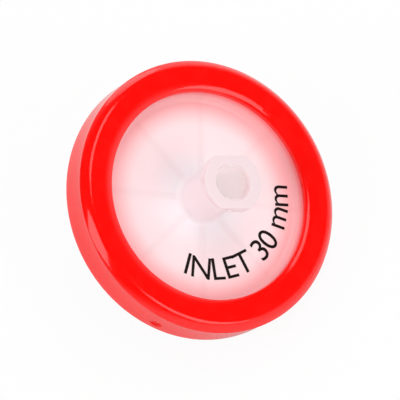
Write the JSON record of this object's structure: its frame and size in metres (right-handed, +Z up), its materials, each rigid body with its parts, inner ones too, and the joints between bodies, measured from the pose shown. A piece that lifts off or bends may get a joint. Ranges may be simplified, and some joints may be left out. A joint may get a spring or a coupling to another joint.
{
  "type": "syringe filter",
  "caption": "Disposable syringe filter: round membrane housing gripped by a moulded outer ring, with a female luer lock inlet and a male luer slip outlet.",
  "frame": {"origin": "middle of the footprint of the filter as it lies at rest, on the surface that it lies on", "axes": "+Z up from that surface; +Y across the filter; the flow axis lies in the XZ plane and leans 30 degrees from +Z towards +X on the inlet side"},
  "size_m": [0.0322, 0.035, 0.0218],
  "materials": {
    "natural_plastic": "satin, slightly translucent",
    "membrane_white": "matte",
    "ring_red": "gloss"
  },
  "bodies": {
    "root": {"inlet_housing": "natural_plastic", "membrane": "membrane_white", "outlet_housing": "natural_plastic", "outer_ring": "ring_red"}
  },
  "joints": []
}
